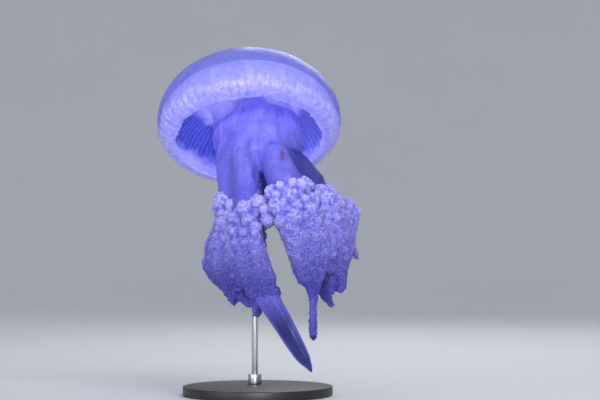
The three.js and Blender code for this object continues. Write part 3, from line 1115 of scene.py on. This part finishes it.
cloudiness, given, result = new_group("cloudiness", {"Scale": 20.0, "Stretch": 1.0}, ["Amount"])
flat = add(cloudiness, "CombineXYZ", 1.0, 1.0, given["Stretch"])
stretched = add(cloudiness, "VectorMath", place_in(cloudiness), flat, operation="MULTIPLY")
mottle = add(cloudiness, "TexNoise", stretched, given["Scale"], 4.0, 0.6)
cloudiness.links.new(step(cloudiness, mottle, 0.3, 0.7), result["Amount"])

speckle, given, result = new_group("speckle", {"Scale": 420.0, "Darkest": 0.76, "Lightest": 1.04},
                                   ["Factor"])
grains = noise_in(speckle, given["Scale"], 2.0, 0.65)
speckle.links.new(step(speckle, grains, 0.32, 0.68, given["Darkest"], given["Lightest"]), result["Factor"])

# Painted shade: an amount that rises from 0 at the top height to 1 at the bottom one.
downward_shade, given, result = new_group("downward_shade", {"Top": 0.36, "Bottom": 0.06}, ["Amount"])
height = add(downward_shade, "SeparateXYZ", place_in(downward_shade), out="Z")
depth = add(downward_shade, "MapRange", height, given["Top"], given["Bottom"], 0.0, 1.0)
downward_shade.links.new(depth, result["Amount"])

bell_frame, given, result = new_group("bell_frame", {}, ["Height", "Radius", "Bearing"])
upright_place = add(bell_frame, "Mapping", place_in(bell_frame), bell_centre, bell_turn,
                    vector_type="TEXTURE")
x, y, z = add(bell_frame, "SeparateXYZ", upright_place).node.outputs
flat_place = add(bell_frame, "CombineXYZ", x, y, 0.0)
bell_frame.links.new(z, result["Height"])
radius = add(bell_frame, "VectorMath", flat_place, operation="LENGTH", out="Value")
bell_frame.links.new(radius, result["Radius"])
bell_frame.links.new(math_node(bell_frame, "ARCTAN2", y, x), result["Bearing"])


def scaled(tree, colour, factor):
    """A colour made lighter or darker by a factor."""
    return add(tree, "VectorMath", colour, factor, operation="SCALE")


def group_node(tree, group, output=None, **inputs):
    """Places a node group in a material, with its own values, and gives back one output or all."""
    node = tree.nodes.new("ShaderNodeGroup")
    node.node_tree = group
    for key, value in inputs.items():
        node.inputs[key].default_value = value
    return node.outputs[output] if output else node.outputs


# %% [markdown]
# ## The skin's finish
#
# The outside of the bell is clear jelly with a blue tinge, so it lets about half the light by. Its
# hollow is a deep blue, with muscle bands fanning out to the rim, between a pale ceiling and a pale
# margin. The manubrium is milky lavender with soft streaks down it.

# %% Skin material
flesh_material, tree, shader = new_material("flesh", Subsurface_Weight=0.3, Subsurface_Scale=0.006,
                                            Specular_IOR_Level=0.35, Emission_Strength=1.0)
shader.inputs["Subsurface Radius"].default_value = (0.7, 0.7, 1)
arm, outside, raised = read(tree, "arm"), read(tree, "outside"), read(tree, "relief")
down, veil, edge, lip = (read(tree, name) for name in ("down", "veil", "edge", "lip"))
bell_height, bell_radius, bearing = group_node(tree, bell_frame)
soft_mottle = group_node(tree, cloudiness, "Amount", Scale=26.0)
fine_mottle = group_node(tree, cloudiness, "Amount", Scale=110.0)
streak = group_node(tree, cloudiness, "Amount", Scale=75.0, Stretch=0.12)
speck = group_node(tree, speckle, "Factor", Scale=420.0)
wander = times(tree, noise_in(tree, 30.0, 2.0, 0.5), 5.0)

# %% [markdown]
# First the bell: clear jelly outside, with fine pale granules all over it. It turns pale and finely
# mottled on the margin, with faint lines that fan out between the lappets.

# %% The bell's outside
def fan_of(tree, bearing, lines, wander):
    """A wave that makes a number of lines fan out round the bell's axis."""
    return math_node(tree, "SINE", plus(tree, times(tree, bearing, lines), wander))


cloud = noise_in(tree, 46.0, 3.0, 0.6)
ragged_height = plus(tree, bell_height, times(tree, cloud, 0.03))
on_margin = step(tree, ragged_height, 0.008, -0.008)
jelly_colour = blend(tree, soft_mottle, tint(84, 90, 232), tint(106, 110, 242))
granules = add(tree, "TexVoronoi", place_in(tree), 300.0)
granules = times(tree, step(tree, granules, 0.42, 0.2), outside)
jelly_colour = blend(tree, times(tree, granules, 0.3), jelly_colour, tint(168, 170, 252))
margin_colour = blend(tree, fine_mottle, tint(142, 141, 240), tint(180, 178, 251))
furrows = step(tree, fan_of(tree, bearing, LAPPETS, 0.0), 0.55, 1.0)
margin_colour = blend(tree, times(tree, furrows, 0.25), margin_colour, tint(104, 106, 226))
outside_colour = blend(tree, on_margin, jelly_colour, margin_colour)

# %% [markdown]
# Then the hollow: a pale ceiling, and a deep blue wall with thin dark muscle strands. The light that
# the clear bell lets through from above reaches the hollow in a real animal. A shader that only knows
# surfaces loses that light, so the hollow is given a faint glow of its own instead, as painted light.
# The glow is stronger on one side of the wall, as painted light falling on that side, and the margin
# outside is given a fainter painted glow too.

# %% The hollow
muscle = step(tree, fan_of(tree, bearing, 96.0, wander), -0.1, -0.95)
muscle = times(tree, muscle, step(tree, fine_mottle, 0.0, 0.8, 0.35, 1.0))
wall_colour = blend(tree, soft_mottle, tint(84, 94, 206), tint(106, 114, 224))
wall_colour = blend(tree, muscle, wall_colour, tint(48, 56, 152))
pale_colour = blend(tree, soft_mottle, tint(150, 148, 244), tint(184, 181, 253))
ragged_radius = plus(tree, bell_radius, times(tree, cloud, 0.024))
on_wall = times(tree, step(tree, ragged_radius, 0.092, 0.114),
                step(tree, ragged_height, 0.008, 0.034))
hollow_colour = blend(tree, on_wall, pale_colour, wall_colour)
sunny_side = step(tree, math_node(tree, "COSINE", bearing), 0.3, 0.8)
wall_glow = blend(tree, sunny_side, (0.012, 0.018, 0.085, 1), (0.055, 0.058, 0.2, 1))
hollow_glow = blend(tree, on_wall, (0.2, 0.19, 0.48, 1), wall_glow)
# Painted light: the margin outside glows faintly too.
outside_glow = blend(tree, on_margin, (0, 0, 0, 1), (0.03, 0.03, 0.07, 1))
bell_glow = blend(tree, outside, hollow_glow, outside_glow)

# %% [markdown]
# Last the stem and the arms. They are streaked lengthwise, and darker towards the frills. Painted shade
# darkens their clefts and their lower parts, and painted light makes the stem paler, with a faint glow,
# where it meets the ceiling. One stalk is a thin bluish veil. The clubs have a dark, glassy inside
# with a painted pale sheen on their sideways ridges, and bluish tips.

# %% The stem, the arms and the clubs
deep = group_node(tree, downward_shade, "Amount", Top=0.43, Bottom=0.31)
stem_colour = blend(tree, streak, tint(106, 104, 222), tint(138, 135, 243))
# Painted shade in the clefts of the stem and arms.
stem_colour = blend(tree, step(tree, raised, 0.0, -2.5), stem_colour, tint(78, 78, 196))
# Painted light: the stem is paler where it meets the ceiling, for the light that comes through the bell.
near_ceiling = step(tree, bell_height, -0.03, 0.045)
stem_colour = blend(tree, near_ceiling, stem_colour, tint(150, 147, 238))
# Painted shade: darker lower down.
stem_colour = blend(tree, times(tree, deep, 0.8), stem_colour, tint(84, 83, 192))
stem_colour = blend(tree, step(tree, down, -0.06, 0.04), stem_colour, tint(92, 90, 190))
stem_colour = blend(tree, times(tree, veil, 0.85), stem_colour, tint(44, 52, 138))
# Painted sheen: the clubs are pale where they face sideways and dark in the middle.
sheened_club = blend(tree, step(tree, edge, 0.35, 0.95), tint(30, 34, 104), tint(100, 103, 198))
tipped = blend(tree, step(tree, down, 1.5, 1.85), sheened_club, tint(70, 96, 180))
on_club = step(tree, down, 1.0, 1.4)
stem_colour = blend(tree, on_club, stem_colour, tipped)

bell_colour = blend(tree, outside, hollow_colour, outside_colour)
skin_colour = blend(tree, arm, bell_colour, stem_colour)

# %% [markdown]
# A few stray marks break the evenness: a rusty fleck on the stem, two faint rusty specks where it meets
# the bell, and a dark streak down its middle, which is painted shade in the seam where the two groups
# of arms meet, down to their fork. Each is a small ellipsoid in space with a ragged edge.

# %% Flecks and a streak
# Each mark's centre and reach in mm, its colour, its strength and how ragged its edge is.
STRAY_MARKS = (
    ((40.5, -120, 375), (4.4, 18, 19), tint(104, 62, 116), 0.85, 2.6),
    ((-22, -64, 450), (3, 12, 12), tint(120, 78, 160), 0.6, 2.4),
    ((50, -98, 459), (3, 9, 5), tint(120, 78, 160), 0.5, 2.4),
    # The last two are painted shade: a dark streak in the seam between the two groups of arms, and at their
    # fork.
    ((-12, -97, 386), (9, 20, 36), tint(66, 68, 178), 0.6, 1.4),
    ((-2, -106, 350), (10, 20, 24), tint(60, 60, 164), 0.7, 1.4),
)

ragged = noise_in(tree, 290.0, 3.0, 0.7)
for centre, reach, colour, strength, raggedness in STRAY_MARKS:
    place = add(tree, "Mapping", place_in(tree), Vector(centre) * MM, None,
                Vector(reach) * MM, vector_type="TEXTURE")
    away = add(tree, "VectorMath", place, operation="LENGTH", out="Value")
    ragged_away = plus(tree, away, times(tree, ragged, raggedness))
    edge_width = 0.5 if raggedness > 2 else 0.9
    edge_start = 1 + raggedness / 2
    spot = step(tree, ragged_away, edge_start, edge_start - edge_width, 0.0, strength)
    skin_colour = blend(tree, spot, skin_colour, colour)
skin_colour = scaled(tree, skin_colour, speck)
# Painted light: the stem glows faintly where it meets the ceiling.
stem_glow = blend(tree, near_ceiling, (0, 0, 0, 1), (0.2, 0.19, 0.3, 1))
wire(tree, shader, Base_Color=skin_colour, Emission_Color=blend(tree, arm, bell_glow, stem_glow))

# %% [markdown]
# How clear the jelly is, is set by its Alpha: about half the light goes through the dome, less through
# the margin, and a little through the veil and the ends of the clubs. The lips of the margin thin out
# to a clear edge.

# %% Clearness and gloss
jelly_alpha = between(tree, on_margin, step(tree, bell_height, 0.04, 0.1, 0.54, 0.4), 0.86)
arm_alpha = between(tree, veil, between(tree, on_club, 1.0, 0.92), 0.8)
bell_alpha = between(tree, lip, between(tree, outside, 1.0, jelly_alpha), 0.5)
wetness = times(tree, outside, 0.1)
dull = between(tree, soft_mottle, 0.34, 0.5)
grain = noise_in(tree, 700.0, 2.0, 0.5)
rough_height = plus(tree, grain, times(tree, granules, 0.6))
wire(tree, shader, Alpha=between(tree, arm, bell_alpha, arm_alpha),
     Roughness=math_node(tree, "SUBTRACT", dull, wetness), Normal=bump(tree, 0.25, 0.0008, rough_height))
skin.data.materials.clear()
skin.data.materials.append(flesh_material)

# %% [markdown]
# ## The finish of the frills
#
# The folds are painted palest where they stand out, a painted highlight, and darken into violet in the
# clefts, a painted shade. Painted shade also darkens them downwards. Two marks on the mesh tell how far
# each point stands out, one for the florets and one for the buds on them. A fine bump stands for the
# mouths, which are smaller than any bud.

# %% Frill material
frill_material, tree, shader = new_material("frill_flesh", Subsurface_Weight=0.5, Subsurface_Scale=0.006,
                                            Specular_IOR_Level=0.25)
shader.inputs["Subsurface Radius"].default_value = (0.7, 0.7, 1)
coarse, fine, down = read(tree, "coarse"), read(tree, "fine"), read(tree, "down")
deep = group_node(tree, downward_shade, "Amount", Top=0.335, Bottom=0.175)
speck = group_node(tree, speckle, "Factor", Scale=480.0, Darkest=0.58, Lightest=1.08)
raised = plus(tree, times(tree, coarse, 0.6), times(tree, fine, 0.15))
# Painted highlight: the folds are paler the further they stand out.
standing = step(tree, raised, -0.5, 1.1)
top_colour = blend(tree, standing, tint(130, 126, 234), tint(196, 193, 254))
low_colour = blend(tree, standing, tint(60, 58, 146), tint(90, 87, 184))
# Painted shade: the frills get darker lower down.
outer_colour = blend(tree, deep, top_colour, low_colour)
# Painted shade in the clefts between the folds.
cleft_shade = blend(tree, deep, tint(100, 96, 214), tint(52, 50, 132))
frill_colour = blend(tree, step(tree, raised, -0.3, -1.4), outer_colour, cleft_shade)
frill_colour = blend(tree, step(tree, down, -0.06, -0.2), frill_colour, tint(94, 90, 196))
crumple = noise_in(tree, 420.0, 3.0, 0.6)
wire(tree, shader, Base_Color=scaled(tree, frill_colour, speck),
     Roughness=between(tree, crumple, 0.5, 0.8), Normal=bump(tree, 0.5, 0.0012, crumple))
for frill in frills:
    frill.data.materials.append(frill_material)

# %% [markdown]
# ## The finish of the pale layer
#
# The layer is nearly white, so that the blue jelly over it comes out as pale lavender. Its canals are
# a fine net, which is what the edges of cells in a Voronoi pattern look like, and sixteen wider ones
# run straight out from the middle. Four rosy pouches stand round the middle, between the pillars: they
# are the animal's gonads, and show faintly through the crown.

# %% Pale layer material
layer_material, tree, shader = new_material("canal_layer", Subsurface_Weight=0.2, Subsurface_Scale=0.004,
                                            Emission_Strength=1.0)
_, bell_radius, bearing = group_node(tree, bell_frame)
net = add(tree, "TexVoronoi", place_in(tree), 95.0, feature="DISTANCE_TO_EDGE")
mottle = group_node(tree, cloudiness, "Amount", Scale=32.0)
wander = times(tree, noise_in(tree, 24.0, 2.0, 0.5), 2.0)
ground = blend(tree, mottle, tint(214, 210, 250), tint(243, 238, 255))
ground = blend(tree, step(tree, net, 0.02, 0.1), tint(200, 195, 248), ground)
canals = step(tree, fan_of(tree, bearing, 16.0, wander), 0.9, 0.99)
canals = times(tree, canals, step(tree, bell_radius, 0.05, 0.08))
ground = blend(tree, times(tree, canals, 0.7), ground, tint(252, 250, 255))
from_pouches = math_node(tree, "ABSOLUTE", math_node(tree, "SUBTRACT", bell_radius, 0.05))
pouch = step(tree, from_pouches, 0.018, 0.003)
pouch = times(tree, pouch, step(tree, fan_of(tree, bearing, 4.0, wander), -0.9, 0.9))
ground = blend(tree, times(tree, pouch, 0.5), ground, tint(182, 154, 224))
# Painted light: the whole layer glows faintly, for light carried through the clear jelly, and the pouches
# glow less.
layer_glow = blend(tree, pouch, (0.1, 0.1, 0.16, 1), (0.03, 0.02, 0.06, 1))
wire(tree, shader, Base_Color=ground, Emission_Color=layer_glow, Roughness=between(tree, mottle, 0.5, 0.65))
canal_layer.data.materials.append(layer_material)

# %% [markdown]
# ## The finish of the stand
#
# The foot has a satin black paint, which is never quite even. The rod and the collar are brushed
# steel: turned parts are brushed round, so fine rings run across them.

# %% Stand materials
paint, tree, shader = new_material("satin_paint", Specular_IOR_Level=0.5)
peel = noise_in(tree, 260.0, 3.0, 0.6)
wire(tree, shader, Base_Color=blend(tree, peel, tint(24, 24, 27), tint(34, 34, 38)),
     Roughness=between(tree, peel, 0.36, 0.5), Normal=bump(tree, 0.12, 0.0004, peel))
foot.data.materials.append(paint)

steel, tree, shader = new_material("brushed_steel", Metallic=1.0)
rings = add(tree, "VectorMath", place_in(tree), (40.0, 40.0, 2200.0), operation="MULTIPLY")
brush = add(tree, "TexNoise", rings, 1.0, 3.0, 0.7)
wire(tree, shader, Base_Color=blend(tree, brush, tint(158, 160, 164), tint(206, 208, 212)),
     Roughness=between(tree, brush, 0.22, 0.42), Normal=bump(tree, 0.15, 0.0002, brush))
rod.data.materials.append(steel)
collar.data.materials.append(steel)
print("materials", [material.name for material in bpy.data.materials if material.users])

# %% Say what replaces what
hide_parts("bell", "bell_margin", *PILLARS, "arm_disc", "fused_arms",
            *[f"arm_{arm}_{part}" for arm in ARMS for part in ("stalk", "frill", "club")])
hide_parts("stand_foot")
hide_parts("stand_rod")
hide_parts("stand_collar")
for piece in (skin, canal_layer, foot, rod, collar, *frills):
    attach(piece, "root")

# %% [markdown]
# ## The floor and the lights
#
# A pale round floor curves up into a wall on all sides. It has no horizon, so the model has the same
# quiet background from wherever it is looked at. One large softbox in front and above gives the main
# light. Two low ones keep the hollow from going black, and one behind draws a thin bright edge. The low
# ones stand close to the floor and would burn it out, so they are linked to light the model alone.

# %% Make the floor
sweep_line = smooth_line([Vector(place) for place in
                          ((0, 0, 0), (2, 0, 0), (4.2, 0, 0.25), (5.6, 0, 1.5), (6, 0, 3.6), (6, 0, 7))], 8)
sweep = spun(sweep_line, 96)
bmesh.ops.reverse_faces(sweep, faces=sweep.faces)
floor = finish_piece(sweep, "floor")
card, tree, shader = new_material("pale_card", Roughness=0.9, Specular_IOR_Level=0.2)
shade = noise_in(tree, 0.8, 2.0, 0.5)
wire(tree, shader, Base_Color=blend(tree, shade, tint(226, 228, 232), tint(232, 234, 238)))
floor.data.materials.append(card)

# %% Light the model
world = bpy.data.worlds.new("studio")
world.use_nodes = True
world.node_tree.nodes["Background"].inputs["Color"].default_value = (0.92, 0.94, 1, 1)
world.node_tree.nodes["Background"].inputs["Strength"].default_value = 0.6
bpy.context.scene.world = world

all_but_floor = bpy.data.collections.new("all_but_floor")
all_but_floor.objects.link(floor)
all_but_floor.collection_objects[0].light_linking.link_state = "EXCLUDE"


def softbox(name, place, power, size, lit=None):
    """A square light that faces the middle of the model, and lights all of it or what is listed."""
    light = bpy.data.lights.new(name, "AREA")
    light.energy = power
    light.size = size
    box = put(name, light)
    box.location = place
    box.light_linking.receiver_collection = lit
    box.rotation_euler = ((solid_low + solid_high) / 2 - Vector(place)).to_track_quat("-Z", "Y").to_euler()


softbox("key", (0.9, -1.9, 1.6), 24, 1.2)
softbox("fill", (-1.6, -1.5, 0.4), 20, 1.5, all_but_floor)
softbox("low", (0.1, -2.2, 0.2), 36, 0.8, all_but_floor)
softbox("rim", (0.4, 1.8, 1.7), 14, 1.2)
print("lit by", len(bpy.data.lights), "softboxes")
